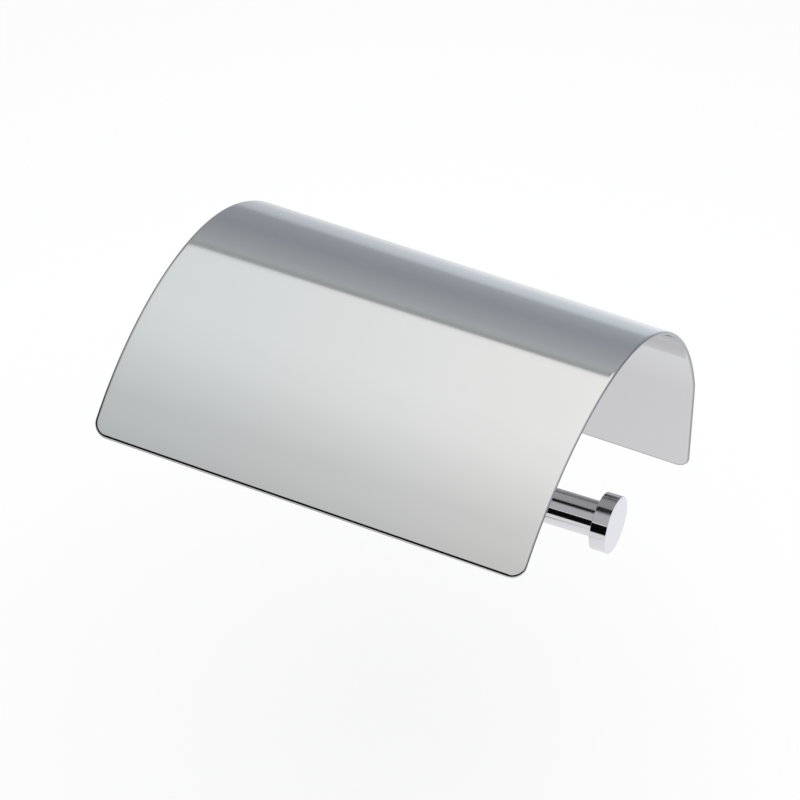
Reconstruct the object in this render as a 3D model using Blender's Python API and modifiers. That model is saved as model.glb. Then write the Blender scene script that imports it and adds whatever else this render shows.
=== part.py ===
"""Toilet paper holder with a curved cover, modelled in metres with +Z up.

The origin is the centre of the wall plate's back face: +X runs along the wall to the pin's free
end, -Y points away from the wall into the room, and the wall is the plane Y = 0.

A wall plate carries the cover's flat tail and a round post. The cover rises from its tail in one
bent sheet and arches over the roll. The roll slides onto a slightly raised pin that the post holds
at its left end, and the knob on the pin's right end keeps it there.
"""

from math import cos, pi, radians, sin

import bmesh
import bpy
from mathutils import Matrix, Vector

MM = 0.001
CLEARANCE = 0.3 * MM             # gap kept between two pieces that touch

# Wall plate
PLATE_WIDTH = 120 * MM
PLATE_HEIGHT = 30 * MM
PLATE_THICKNESS = 3.7 * MM
PLATE_CORNER_RADIUS = 4 * MM
PLATE_CORNER_STEPS = 6

# Cover: one sheet, straight at the tail, then three arcs up, over and down to the front edge
COVER_WIDTH = 130 * MM
SHEET_THICKNESS = 1.2 * MM
TAIL_BOTTOM = -18 * MM
TAIL_LENGTH = 34 * MM
COVER_ARCS = (                   # outer radius, swept angle
    (18 * MM, radians(15)),
    (103 * MM, radians(41)),
    (73 * MM, radians(78.5)),
)
ARC_STEP = radians(2.2)
COVER_CORNER_RADIUS = 4.3 * MM
COVER_CORNER_STEPS = 10
CORNER_CUTTER_DEPTH = 3.6 * MM   # to both sides of the sheet's outer face

# Post
POST_X = -49 * MM
POST_Z = 8 * MM
POST_RADIUS = 8.5 * MM
PIN_FROM_WALL = 61 * MM
POST_EDGE_CHAMFER = 0.6 * MM
PIN_BORE_LENGTH = 25.5 * MM      # long enough to leave the post's right side

# Roll pin and knob
PIN_RADIUS = 5.5 * MM
PIN_TILT = radians(2.5)          # the free end is raised, so the roll stays against the post
PIN_INSET = 5 * MM               # how far the pin runs past the post's centre line
PIN_REACH = 112 * MM             # from the post's centre line to the knob's end face
KNOB_RADIUS = 8.75 * MM
KNOB_THICKNESS = 5 * MM
KNOB_CHAMFER = 0.2 * MM
STUD_RADIUS = 2.5 * MM
STUD_LENGTH = 10 * MM
STUD_IN_KNOB = 2.4 * MM

# Fixings
POST_SCREW_SPACING = 9 * MM
POST_SCREW_LENGTH = 12 * MM
SCREW_RADIUS = 2 * MM
COUNTERSUNK_HEAD_RADIUS = 3.7 * MM
COUNTERSUNK_HEAD_HEIGHT = 2 * MM
WALL_SCREW_X = 20 * MM
WALL_SCREW_Z = -4 * MM
WALL_SCREW_LENGTH = 30 * MM
WALL_SCREW_TIP = 5 * MM
PAN_HEAD_RADIUS = 4 * MM
PAN_HEAD_HEIGHT = 2.4 * MM
PAN_HEAD_DOME = (                # share of the head's radius, share of its height
    (0.7, 0.0),
    (0.92, 0.3),
    (1.0, 0.65),
    (1.0, 1.0),
)
WASHER_RADIUS = 4.8 * MM
WASHER_THICKNESS = 0.8 * MM
SET_SCREW_LENGTH = 2.4 * MM
RECESS_WIDTH = 0.9 * MM
RECESS_SPAN = 4.2 * MM
RECESS_DEPTH = 1.3 * MM
HEX_SOCKET_RADIUS = 1.1 * MM
HEX_SOCKET_SIDES = 6
SMALL_CHAMFER = 0.3 * MM

# Finishes: colour, roughness
SATIN_STEEL = (0.68, 0.70, 0.71), 0.32
PLATED_STEEL = (0.60, 0.62, 0.64), 0.45
CHROME = (0.86, 0.87, 0.88), 0.06
SCREW_STEEL = (0.55, 0.56, 0.58), 0.38
NYLON = (0.82, 0.82, 0.80), 0.5

# Smoothness of the round pieces
FINE_STEPS = 64
SMALL_STEPS = 28
CUTTER_OVERRUN = 1 * MM
MERGE_DISTANCE = 0.00001
SMOOTH_ANGLE = radians(35)
ROUND_PROFILE = 0.5
PARALLEL = 0.99                  # cosine above which two directions count as the same
AXIS_MARK_SIZE = 10 * MM

# Derived places
TAIL_BACK_Y = -PLATE_THICKNESS - CLEARANCE
TAIL_FRONT_Y = TAIL_BACK_Y - SHEET_THICKNESS
POST_BASE_Y = TAIL_FRONT_Y - CLEARANCE
POST_FRONT_Y = -PIN_FROM_WALL - POST_RADIUS
HOLE_RADIUS = SCREW_RADIUS + CLEARANCE
PIN_BORE_RADIUS = PIN_RADIUS + CLEARANCE
FACING_ROOM = Matrix.Rotation(pi / 2, 4, "X")       # local +Z towards -Y
FACING_WALL = Matrix.Rotation(-pi / 2, 4, "X")      # local +Z towards +Y


# ---------------------------------------------------------------- scene and materials

def clear_scene():
    for obj in list(bpy.data.objects):
        bpy.data.objects.remove(obj, do_unlink=True)


def make_collection(name):
    collection = bpy.data.collections.new(name)
    bpy.context.scene.collection.children.link(collection)
    return collection


def metal(name, colour, roughness):
    return principled(name, colour, roughness, metallic=1.0)


def principled(name, colour, roughness, metallic):
    material = bpy.data.materials.new(name)
    material.use_nodes = True
    shader = material.node_tree.nodes["Principled BSDF"]
    shader.inputs["Base Color"].default_value = (*colour, 1.0)
    shader.inputs["Roughness"].default_value = roughness
    shader.inputs["Metallic"].default_value = metallic
    return material


def add_object(name, data, collection, material=None, matrix=None):
    obj = bpy.data.objects.new(name, data)
    collection.objects.link(obj)
    if material is not None:
        data.materials.append(material)
    if matrix is not None:
        obj.matrix_world = matrix
    return obj


# ---------------------------------------------------------------- modelling tools

def turned(name, profile, collection, material=None, steps=FINE_STEPS, matrix=None, ring=False):
    """Spin a profile of (radius, height) points, listed down its outer side, about local Z."""
    mesh = bpy.data.meshes.new(name)
    points = [(radius, 0.0, height) for radius, height in profile]
    edges = [(i, i + 1) for i in range(len(points) - 1)]
    if ring:
        edges.append((len(points) - 1, 0))
    mesh.from_pydata(points, edges, [])
    obj = add_object(name, mesh, collection, material, matrix)
    screw = obj.modifiers.new("Turn", "SCREW")
    screw.axis = "Z"
    screw.steps = steps
    screw.render_steps = steps
    screw.use_merge_vertices = True
    screw.merge_threshold = MERGE_DISTANCE
    screw.use_smooth_shade = True
    return obj


def rod_profile(radius, bottom, top, chamfer=0.0):
    return [
        (0.0, top),
        (radius - chamfer, top),
        (radius, top - chamfer),
        (radius, bottom + chamfer),
        (radius - chamfer, bottom),
        (0.0, bottom),
    ]


def curve_to_mesh(obj):
    """Swap a curve object for a closed mesh object of the same name and place."""
    depsgraph = bpy.context.evaluated_depsgraph_get()
    mesh = bpy.data.meshes.new_from_object(obj.evaluated_get(depsgraph))
    weld(mesh)
    name = obj.name
    matrix = obj.matrix_world.copy()
    collection = obj.users_collection[0]
    bpy.data.objects.remove(obj, do_unlink=True)
    mesh.name = name
    return add_object(name, mesh, collection, matrix=matrix)


def weld(mesh):
    edit = bmesh.new()
    edit.from_mesh(mesh)
    bmesh.ops.remove_doubles(edit, verts=edit.verts, dist=MERGE_DISTANCE)
    edit.to_mesh(mesh)
    edit.free()


def extruded_outline(name, outline, half_depth, collection, matrix):
    """Extrude a closed outline of (x, y) points by half_depth to both sides of its plane."""
    curve = bpy.data.curves.new(name, "CURVE")
    curve.dimensions = "2D"
    curve.fill_mode = "BOTH"
    curve.extrude = half_depth
    spline = curve.splines.new("POLY")
    spline.points.add(len(outline) - 1)
    for point, (x, y) in zip(spline.points, outline):
        point.co = (x, y, 0.0, 1.0)
    spline.use_cyclic_u = True
    obj = add_object(name, curve, collection, matrix=matrix)
    bpy.context.view_layer.update()
    return curve_to_mesh(obj)


def block(name, size, collection, matrix):
    mesh = bpy.data.meshes.new(name)
    edit = bmesh.new()
    bmesh.ops.create_cube(edit, size=1.0, matrix=Matrix.Diagonal((*size, 1.0)))
    edit.to_mesh(mesh)
    edit.free()
    return add_object(name, mesh, collection, matrix=matrix)


def drill(name, radius, depth, matrix, steps=SMALL_STEPS):
    """A round cutter along local +Z: it starts a little below local zero and ends at depth."""
    profile = [(0.0, depth), (radius, depth), (radius, -CUTTER_OVERRUN), (0.0, -CUTTER_OVERRUN)]
    return turned(name, profile, cutters, steps=steps, matrix=matrix)


def cut(obj, *tools):
    for tool in tools:
        tool.display_type = "WIRE"
        tool.hide_render = True
        boolean = obj.modifiers.new(f"Cut {tool.name}", "BOOLEAN")
        boolean.operation = "DIFFERENCE"
        boolean.solver = "EXACT"
        boolean.object = tool


def at(x, y, z, turn=Matrix.Identity(4)):
    return Matrix.Translation((x, y, z)) @ turn


# ---------------------------------------------------------------- wall plate

def post_screw_places():
    return {
        "left": POST_X - POST_SCREW_SPACING / 2,
        "right": POST_X + POST_SCREW_SPACING / 2,
    }


def wall_screw_places():
    return {"left": -WALL_SCREW_X, "right": WALL_SCREW_X}


def build_wall_plate(material):
    plate = block(
        "wall_plate",
        (PLATE_WIDTH, PLATE_THICKNESS, PLATE_HEIGHT),
        parts,
        at(0.0, -PLATE_THICKNESS / 2, 0.0),
    )
    plate.data.materials.append(material)
    round_upright_corners(plate.data)
    for side, x in wall_screw_places().items():
        place = at(x, 0.0, WALL_SCREW_Z, FACING_ROOM)
        cut(plate, drill(f"plate_hole_{side}", HOLE_RADIUS, PLATE_THICKNESS + CUTTER_OVERRUN, place))
    for side, x in post_screw_places().items():
        cut(plate, countersink(side, x))
    return plate


def round_upright_corners(mesh):
    """Round the four corners that are seen from the front: their edges run along Y."""
    edit = bmesh.new()
    edit.from_mesh(mesh)
    corners = [edge for edge in edit.edges if is_along_y(edge)]
    bmesh.ops.bevel(
        edit,
        geom=corners,
        offset=PLATE_CORNER_RADIUS,
        segments=PLATE_CORNER_STEPS,
        profile=ROUND_PROFILE,
        affect="EDGES",
        clamp_overlap=True,
    )
    edit.to_mesh(mesh)
    edit.free()


def is_along_y(edge):
    direction = (edge.verts[1].co - edge.verts[0].co).normalized()
    return abs(direction.y) > PARALLEL


def countersink(side, x):
    """A through hole that opens into a cone at the plate's back, where the head sits."""
    mouth = COUNTERSUNK_HEAD_RADIUS + CLEARANCE
    depth = COUNTERSUNK_HEAD_HEIGHT + CLEARANCE
    profile = [
        (0.0, PLATE_THICKNESS + CUTTER_OVERRUN),
        (HOLE_RADIUS, PLATE_THICKNESS + CUTTER_OVERRUN),
        (HOLE_RADIUS, depth),
        (mouth, 0.0),
        (mouth, -CUTTER_OVERRUN),
        (0.0, -CUTTER_OVERRUN),
    ]
    place = at(x, 0.0, POST_Z, FACING_ROOM)
    return turned(f"countersink_{side}", profile, cutters, steps=SMALL_STEPS, matrix=place)


# ---------------------------------------------------------------- cover

def cover_side():
    """Points and outward normals of the cover's outer side in (Y, Z), from tail to front edge."""
    y, z, heading = TAIL_BACK_Y, TAIL_BOTTOM, pi / 2
    points = [(y, z)]
    normals = [outward(heading)]
    z += TAIL_LENGTH
    points.append((y, z))
    normals.append(outward(heading))
    for radius, sweep in COVER_ARCS:
        steps = max(2, round(sweep / ARC_STEP))
        centre_y = y - radius * outward(heading)[0]
        centre_z = z - radius * outward(heading)[1]
        for step in range(1, steps + 1):
            normal = outward(heading + sweep * step / steps)
            points.append((centre_y + radius * normal[0], centre_z + radius * normal[1]))
            normals.append(normal)
        heading += sweep
        y, z = points[-1]
    return points, normals


def outward(heading):
    """Outward normal of a sheet that runs along heading, an angle up from +Y."""
    return sin(heading), -cos(heading)


def cover_outline():
    """Closed section of the sheet: up its outer side and back along its inner side."""
    points, normals = cover_side()
    inner = [
        (y - SHEET_THICKNESS * normal_y, z - SHEET_THICKNESS * normal_z)
        for (y, z), (normal_y, normal_z) in zip(points, normals)
    ]
    return points + inner[::-1]


def cover_corners():
    """Each corner of the sheet, with the two directions that lead out of it along the sheet."""
    points, _ = cover_side()
    heading = pi / 2 + sum(sweep for _, sweep in COVER_ARCS)
    ends = {
        "tail": (points[0], Vector((0.0, 0.0, -1.0))),
        "front": (points[-1], Vector((0.0, cos(heading), sin(heading)))),
    }
    for end, ((y, z), outward_end) in ends.items():
        for side, sign in (("left", -1.0), ("right", 1.0)):
            corner = Vector((sign * COVER_WIDTH / 2, y, z))
            yield f"{end}_{side}", corner, Vector((sign, 0.0, 0.0)), outward_end


def corner_cutter(name, corner, across, along):
    """The sliver between a square corner and its quarter round."""
    radius = COVER_CORNER_RADIUS
    steps = COVER_CORNER_STEPS
    arc = [
        (radius * (cos(pi / 2 * i / steps) - 1), radius * (sin(pi / 2 * i / steps) - 1))
        for i in range(steps, -1, -1)
    ]
    margin = CUTTER_OVERRUN
    outline = arc + [(margin, -radius), (margin, margin), (-radius, margin)]
    frame = Matrix((across, along, across.cross(along))).transposed().to_4x4()
    matrix = Matrix.Translation(corner) @ frame
    return extruded_outline(f"corner_{name}", outline, CORNER_CUTTER_DEPTH, cutters, matrix)


def tail_hole(name, x, z):
    place = at(x, TAIL_BACK_Y, z, FACING_ROOM)
    return drill(name, HOLE_RADIUS, SHEET_THICKNESS + CUTTER_OVERRUN, place)


def build_cover(material):
    section_to_world = Matrix.Rotation(pi / 2, 4, "Z") @ Matrix.Rotation(pi / 2, 4, "X")
    cover = extruded_outline(
        "cover_sheet", cover_outline(), COVER_WIDTH / 2, parts, section_to_world
    )
    cover.data.materials.append(material)
    for corner in cover_corners():
        cut(cover, corner_cutter(*corner))
    for side, x in wall_screw_places().items():
        cut(cover, tail_hole(f"tail_wall_hole_{side}", x, WALL_SCREW_Z))
    for side, x in post_screw_places().items():
        cut(cover, tail_hole(f"tail_post_hole_{side}", x, POST_Z))
    cover.data.shade_smooth()
    cover.data.set_sharp_from_angle(angle=SMOOTH_ANGLE)
    return cover


# ---------------------------------------------------------------- post, pin and knob

def make_pin_axis():
    """An empty where the pin's axis crosses the post's, with local +Z along the pin."""
    axis = bpy.data.objects.new("pin_axis", None)
    axis.empty_display_size = AXIS_MARK_SIZE
    axis.matrix_world = at(
        POST_X, -PIN_FROM_WALL, POST_Z, Matrix.Rotation(pi / 2 - PIN_TILT, 4, "Y")
    )
    parts.objects.link(axis)
    return axis


def build_post(material, pin_axis):
    length = POST_BASE_Y - POST_FRONT_Y
    post = turned(
        "post",
        rod_profile(POST_RADIUS, 0.0, length, POST_EDGE_CHAMFER),
        parts,
        material,
        matrix=at(POST_X, POST_BASE_Y, POST_Z, FACING_ROOM),
    )
    bore_start = at(0.0, 0.0, -PIN_INSET - CLEARANCE)
    pin_bore = turned(
        "pin_bore",
        rod_profile(PIN_BORE_RADIUS, 0.0, PIN_BORE_LENGTH),
        cutters,
        steps=FINE_STEPS,
        matrix=pin_axis.matrix_world @ bore_start,
    )
    set_screw_bore = drill(
        "set_screw_bore",
        HOLE_RADIUS,
        POST_RADIUS,
        at(POST_X, -PIN_FROM_WALL, POST_Z - POST_RADIUS),
    )
    cut(post, pin_bore, set_screw_bore)
    bore_depth = POST_SCREW_LENGTH + TAIL_FRONT_Y
    for side, x in post_screw_places().items():
        place = at(x, POST_BASE_Y, POST_Z, FACING_ROOM)
        cut(post, drill(f"post_bore_{side}", HOLE_RADIUS, bore_depth, place))
    return post


def build_pin(material, pin_axis):
    top = PIN_REACH - KNOB_THICKNESS - CLEARANCE
    stud_bore = STUD_RADIUS + CLEARANCE
    stud_bottom = PIN_REACH - KNOB_THICKNESS + STUD_IN_KNOB - STUD_LENGTH - CLEARANCE
    profile = [
        (0.0, stud_bottom),
        (stud_bore, stud_bottom),
        (stud_bore, top),
        (PIN_RADIUS, top),
        (PIN_RADIUS, -PIN_INSET + SMALL_CHAMFER),
        (PIN_RADIUS - SMALL_CHAMFER, -PIN_INSET),
        (0.0, -PIN_INSET),
    ]
    pin = turned("roll_pin", profile, parts, material)
    pin.parent = pin_axis
    return pin


def build_knob(material, pin_axis):
    back = PIN_REACH - KNOB_THICKNESS
    bore = STUD_RADIUS + CLEARANCE
    bore_end = back + STUD_IN_KNOB + CLEARANCE
    profile = [
        (0.0, PIN_REACH),
        (KNOB_RADIUS - KNOB_CHAMFER, PIN_REACH),
        (KNOB_RADIUS, PIN_REACH - KNOB_CHAMFER),
        (KNOB_RADIUS, back + KNOB_CHAMFER),
        (KNOB_RADIUS - KNOB_CHAMFER, back),
        (bore, back),
        (bore, bore_end),
        (0.0, bore_end),
    ]
    knob = turned("knob", profile, parts, material)
    knob.parent = pin_axis
    return knob


def build_knob_stud(material, pin_axis):
    top = PIN_REACH - KNOB_THICKNESS + STUD_IN_KNOB
    profile = rod_profile(STUD_RADIUS, top - STUD_LENGTH, top, SMALL_CHAMFER)
    stud = turned("knob_stud", profile, parts, material, steps=SMALL_STEPS)
    stud.parent = pin_axis
    return stud


# ---------------------------------------------------------------- fixings

def cross_recess(name, matrix):
    """Two crossed slots sunk into a screw head, whose top is at local zero."""
    sunk = matrix @ at(0.0, 0.0, (CUTTER_OVERRUN - RECESS_DEPTH) / 2)
    depth = RECESS_DEPTH + CUTTER_OVERRUN
    slots = [
        block(f"{name}_a", (RECESS_SPAN, RECESS_WIDTH, depth), cutters, sunk),
        block(f"{name}_b", (RECESS_WIDTH, RECESS_SPAN, depth), cutters, sunk),
    ]
    return slots


def build_post_screw(side, x, material):
    """Countersunk screw from the plate's back, through plate and tail into the post."""
    place = at(x, 0.0, POST_Z, FACING_WALL)
    profile = [
        (0.0, 0.0),
        (COUNTERSUNK_HEAD_RADIUS, 0.0),
        (SCREW_RADIUS, -COUNTERSUNK_HEAD_HEIGHT),
        (SCREW_RADIUS, -POST_SCREW_LENGTH + SMALL_CHAMFER),
        (SCREW_RADIUS - SMALL_CHAMFER, -POST_SCREW_LENGTH),
        (0.0, -POST_SCREW_LENGTH),
    ]
    name = f"post_screw_{side}"
    screw = turned(name, profile, parts, material, steps=SMALL_STEPS, matrix=place)
    cut(screw, *cross_recess(f"{name}_recess", place))
    return screw


def build_wall_screw(side, x, material):
    """Pan-head screw through washer, tail and plate into the wall."""
    head_under_y = TAIL_FRONT_Y - WASHER_THICKNESS - 2 * CLEARANCE
    place = at(x, head_under_y - PAN_HEAD_HEIGHT, WALL_SCREW_Z, FACING_ROOM)
    under = -PAN_HEAD_HEIGHT
    end = under - WALL_SCREW_LENGTH
    head = [(PAN_HEAD_RADIUS * out, under * down) for out, down in PAN_HEAD_DOME]
    profile = [
        (0.0, 0.0),
        *head,
        (SCREW_RADIUS, under),
        (SCREW_RADIUS, end + WALL_SCREW_TIP),
        (0.0, end),
    ]
    name = f"wall_screw_{side}"
    screw = turned(name, profile, parts, material, steps=SMALL_STEPS, matrix=place)
    cut(screw, *cross_recess(f"{name}_recess", place))
    return screw


def build_washer(side, x, material):
    bore = HOLE_RADIUS
    profile = [
        (bore, WASHER_THICKNESS),
        (WASHER_RADIUS, WASHER_THICKNESS),
        (WASHER_RADIUS, 0.0),
        (bore, 0.0),
    ]
    place = at(x, TAIL_FRONT_Y - CLEARANCE, WALL_SCREW_Z, FACING_ROOM)
    name = f"screw_washer_{side}"
    return turned(name, profile, parts, material, steps=SMALL_STEPS, matrix=place, ring=True)


def build_set_screw(material):
    """Grub screw in the post's underside: its top end presses on the pin."""
    top_z = POST_Z - PIN_RADIUS - 2 * CLEARANCE
    place = at(POST_X, -PIN_FROM_WALL, top_z - SET_SCREW_LENGTH, Matrix.Rotation(pi, 4, "X"))
    profile = rod_profile(SCREW_RADIUS, -SET_SCREW_LENGTH, 0.0, SMALL_CHAMFER)
    screw = turned("pin_set_screw", profile, parts, material, steps=SMALL_STEPS, matrix=place)
    socket_start = place @ at(0.0, 0.0, -SET_SCREW_LENGTH / 2)
    socket = turned(
        "hex_socket",
        rod_profile(HEX_SOCKET_RADIUS, 0.0, SET_SCREW_LENGTH),
        cutters,
        steps=HEX_SOCKET_SIDES,
        matrix=socket_start,
    )
    cut(screw, socket)
    return screw


# ---------------------------------------------------------------- assembly

def build_holder():
    satin_steel = metal("satin stainless steel", *SATIN_STEEL)
    plated_steel = metal("zinc plated steel", *PLATED_STEEL)
    nylon = principled("white nylon", *NYLON, metallic=0.0)

    def chrome(part_name):
        return metal(f"chrome {part_name}", *CHROME)

    def screw_steel(part_name):
        return metal(f"screw steel {part_name}", *SCREW_STEEL)

    build_wall_plate(plated_steel)
    build_cover(satin_steel)
    pin_axis = make_pin_axis()
    build_post(chrome("post"), pin_axis)
    build_pin(chrome("pin"), pin_axis)
    build_knob(chrome("knob"), pin_axis)
    build_knob_stud(screw_steel("stud"), pin_axis)
    build_set_screw(screw_steel("set screw"))
    for side, x in post_screw_places().items():
        build_post_screw(side, x, screw_steel(f"post screw {side}"))
    for side, x in wall_screw_places().items():
        build_wall_screw(side, x, screw_steel(f"wall screw {side}"))
        build_washer(side, x, nylon)


clear_scene()
parts = make_collection("toilet_paper_holder")
cutters = make_collection("cutters")
build_holder()
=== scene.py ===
"""Looks of the toilet paper holder: finer pieces, finishes, floor, light and camera."""

from math import cos, pi, radians, sin

import bmesh
import bpy
from mathutils import Matrix, Vector


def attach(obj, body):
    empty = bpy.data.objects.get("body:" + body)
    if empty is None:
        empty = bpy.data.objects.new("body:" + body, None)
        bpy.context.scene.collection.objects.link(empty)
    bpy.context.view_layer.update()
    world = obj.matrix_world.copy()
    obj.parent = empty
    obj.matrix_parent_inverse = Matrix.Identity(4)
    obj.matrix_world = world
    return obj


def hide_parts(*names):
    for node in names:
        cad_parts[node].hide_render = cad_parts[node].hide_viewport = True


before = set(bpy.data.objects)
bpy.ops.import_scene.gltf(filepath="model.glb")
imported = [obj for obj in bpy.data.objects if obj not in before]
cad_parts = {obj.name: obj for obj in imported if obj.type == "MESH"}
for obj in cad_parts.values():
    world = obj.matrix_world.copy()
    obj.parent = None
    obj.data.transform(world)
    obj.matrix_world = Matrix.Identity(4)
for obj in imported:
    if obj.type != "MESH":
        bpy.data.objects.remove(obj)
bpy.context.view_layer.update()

MM = 0.001
CLEARANCE = 0.3 * MM

# Wall plate
PLATE_WIDTH = 120 * MM
PLATE_HEIGHT = 30 * MM
PLATE_THICKNESS = 3.7 * MM
PLATE_CORNER_RADIUS = 4 * MM
PLATE_EASING = 0.35 * MM

# Cover
COVER_WIDTH = 130 * MM
SHEET_THICKNESS = 1.2 * MM
TAIL_BOTTOM = -18 * MM
TAIL_LENGTH = 34 * MM
COVER_ARCS = (                   # outer radius, swept angle
    (18 * MM, radians(15)),
    (103 * MM, radians(41)),
    (73 * MM, radians(78.5)),
)
COVER_LENGTH = TAIL_LENGTH + sum(radius * sweep for radius, sweep in COVER_ARCS)
COVER_CORNER_RADIUS = 4.3 * MM
COVER_EASING = 1.0 * MM         # how far the rounding reaches in from the rim
COVER_EASING_DEPTH = 0.56 * MM  # how far it reaches into the sheet's thickness
CUT_START = 0.6 * MM            # the cut sides' dull finish and painted shade start this far in from the rim
CUT_FULL = 0.25 * MM            # and are full this far in
CUT_LIFT = 0.45 * MM            # it reaches this much further in at the tail's lower end
CUT_ROUGHNESS = 0.22            # added to the faces' own
# Painted shade: the cut sides' darker colour stands in for the dark reflection along the rim.
CUT_PAINTED_SHADE_COLOUR = (0.34, 0.34, 0.355)
COVER_ROW = 1.1 * MM
COVER_COLUMNS = 44
CORNER_STEPS = 10
EASING_STEPS = 5

# Post, pin and knob
POST_X = -49 * MM
POST_Z = 8 * MM
POST_RADIUS = 8.5 * MM
PIN_FROM_WALL = 61 * MM
POST_EASING = 0.6 * MM
BORE_REACH = 3 * POST_RADIUS    # well out of the post's side
PIN_RADIUS = 5.5 * MM
PIN_TILT = radians(2.5)
PIN_INSET = 5 * MM
PIN_REACH = 112 * MM
KNOB_RADIUS = 8.75 * MM
KNOB_THICKNESS = 5 * MM
KNOB_EASING = 0.12 * MM
STUD_RADIUS = 2.5 * MM
STUD_LENGTH = 10 * MM
STUD_IN_KNOB = 2.4 * MM

# Fixings
POST_SCREW_SPACING = 9 * MM
POST_SCREW_LENGTH = 12 * MM
SCREW_RADIUS = 2 * MM
COUNTERSUNK_HEAD_RADIUS = 3.7 * MM
COUNTERSUNK_HEAD_HEIGHT = 2 * MM
WALL_SCREW_X = 20 * MM
WALL_SCREW_Z = -4 * MM
WALL_SCREW_LENGTH = 30 * MM
WALL_SCREW_TIP = 5 * MM
WALL_SCREW_ROOT = 1.35 * MM
WALL_SCREW_PITCH = 1.8 * MM
WALL_SCREW_NECK = 5 * MM
MACHINE_ROOT = 1.65 * MM
MACHINE_PITCH = 0.7 * MM
PAN_HEAD_RADIUS = 4 * MM
PAN_HEAD_HEIGHT = 2.4 * MM
PAN_HEAD_CROWN = ((0.7, 0.0), (0.92, 0.3), (1.0, 0.65), (1.0, 1.0))   # shares of radius, height
WASHER_RADIUS = 4.8 * MM
WASHER_THICKNESS = 0.8 * MM
SET_SCREW_LENGTH = 2.4 * MM
RECESS_WIDTH = 0.9 * MM
RECESS_SPAN = 4.2 * MM
RECESS_DEPTH = 1.3 * MM
RECESS_TAPER = 0.5
RECESS_OVERRUN = 0.2 * MM
HEX_SOCKET_RADIUS = 1.1 * MM
HEX_SIDES = 6
SMALL_EASING = 0.15 * MM

# Threads
THREAD_ROWS = 12                # rings of points to a turn
THREAD_RIDGE = 0.38             # half the ridge's foot, as a share of the pitch
TIP_BLUNTNESS = 0.12            # the share of the radius that is left at a screw's point

# Smoothness
ROUND_STEPS = 128
SMALL_STEPS = 48
OVERRUN = 1 * MM
CREASE_ANGLE = radians(32)
EASED_SHARE = 0.45              # the most that a rounded corner takes of its sides
POLE_RADIUS = 0.0001 * MM       # a smaller ring is a single point

# Derived places
TAIL_BACK_Y = -PLATE_THICKNESS - CLEARANCE
TAIL_FRONT_Y = TAIL_BACK_Y - SHEET_THICKNESS
POST_BASE_Y = TAIL_FRONT_Y - CLEARANCE
POST_FRONT_Y = -PIN_FROM_WALL - POST_RADIUS
HOLE_RADIUS = SCREW_RADIUS + CLEARANCE
PIN_BORE_RADIUS = PIN_RADIUS + CLEARANCE
POST_SCREW_X = {
    "left": POST_X - POST_SCREW_SPACING / 2,
    "right": POST_X + POST_SCREW_SPACING / 2,
}
WALL_SCREW_AT = {"left": -WALL_SCREW_X, "right": WALL_SCREW_X}
FACING_ROOM = Matrix.Rotation(pi / 2, 4, "X")       # local +Z towards -Y
FACING_WALL = Matrix.Rotation(-pi / 2, 4, "X")      # local +Z towards +Y
NO_TURN = Matrix.Identity(4)

# Floor
FLOOR_Z = -120 * MM
FLOOR_CENTRE_Y = -60 * MM
FLOOR_RADIUS = 450 * MM
FLOOR_FADE = (240 * MM, 420 * MM)   # from solid to clear, by distance from the floor's centre
FLOOR_GLOW = 0.75

# Reflector: its light and tint, and where each change along X or Y starts and ends
REFLECTOR_LIFT = 1 * MM
REFLECTOR_LIGHT = (0.80, 1.03)
LIGHT_ALONG_X = (-160 * MM, 60 * MM)
REFLECTOR_TINT = ((0.996, 0.987, 1.017), (0.965, 0.996, 1.026))
TINT_ALONG_Y = (-60 * MM, 120 * MM)
CARD_RIGHT = (-32 * MM, -12 * MM)
CARD_BACK = (-205 * MM, -155 * MM)
CARD_FRONT = (-385 * MM, -262 * MM)
CARD_STEP = (-300 * MM, -272 * MM)
CARD_STEP_LIGHT = 0.6

# Studio, by direction: each number runs from -1 to 1 along its axis
SKY_LEAN = 0.094                # added to the height towards +X
SKY_OFFSET = 0.0275             # added to it everywhere
DOME_EDGE = (0.514, 0.524)
LOW_TO_HIGH = (-0.2, 0.0)
FRONT_TO_BACK = (-0.3, 0.3)
SEEN_COLOUR = (0.97, 0.97, 0.97, 1.0)

# Its colours, as stops of (place, colour)
DOME_ALONG_Y = (
    (-1.0, 0.80), (-0.70, 0.835), (-0.60, 0.895), (-0.45, 0.925), (-0.33, 1.0),
    (-0.20, 1.06), (0.0, 1.16), (0.3, 1.22), (1.0, 1.22),
)
DOME_ALONG_X = (
    (-1.0, (0.36, 0.38, 0.40)), (-0.65, (0.50, 0.53, 0.55)), (-0.45, (0.80, 0.83, 0.84)),
    (-0.343, (0.89, 0.925, 0.935)), (-0.293, (0.99, 1.0, 0.995)),
    (-0.243, (1.085, 1.085, 1.065)), (0.0, (1.1, 1.1, 1.08)), (1.0, 1.1),
)
BACK_BY_HEIGHT = (
    (-1.0, (0.90, 0.935, 0.97)), (-0.59, (0.90, 0.935, 0.97)), (-0.535, (0.82, 0.86, 0.90)),
    (-0.479, (0.74, 0.785, 0.84)), (-0.365, (0.70, 0.745, 0.81)), (-0.296, (0.63, 0.675, 0.735)),
    (-0.232, (0.465, 0.50, 0.55)), (-0.165, (0.44, 0.48, 0.52)), (-0.10, (0.42, 0.444, 0.49)),
    (0.0, (0.385, 0.41, 0.455)), (0.1, (0.38, 0.405, 0.45)), (0.23, (0.43, 0.455, 0.49)),
    (0.36, (0.485, 0.51, 0.54)), (0.42, (0.54, 0.565, 0.585)), (0.465, (0.55, 0.575, 0.58)),
    (0.485, (0.44, 0.46, 0.465)), (0.505, (0.37, 0.39, 0.39)),
)
LOW_BACK_ALONG_X = (
    (-1.0, 0.80), (-0.343, 0.85), (-0.310, 0.93), (-0.275, 1.0), (-0.243, 1.03), (1.0, 1.03),
)
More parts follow.
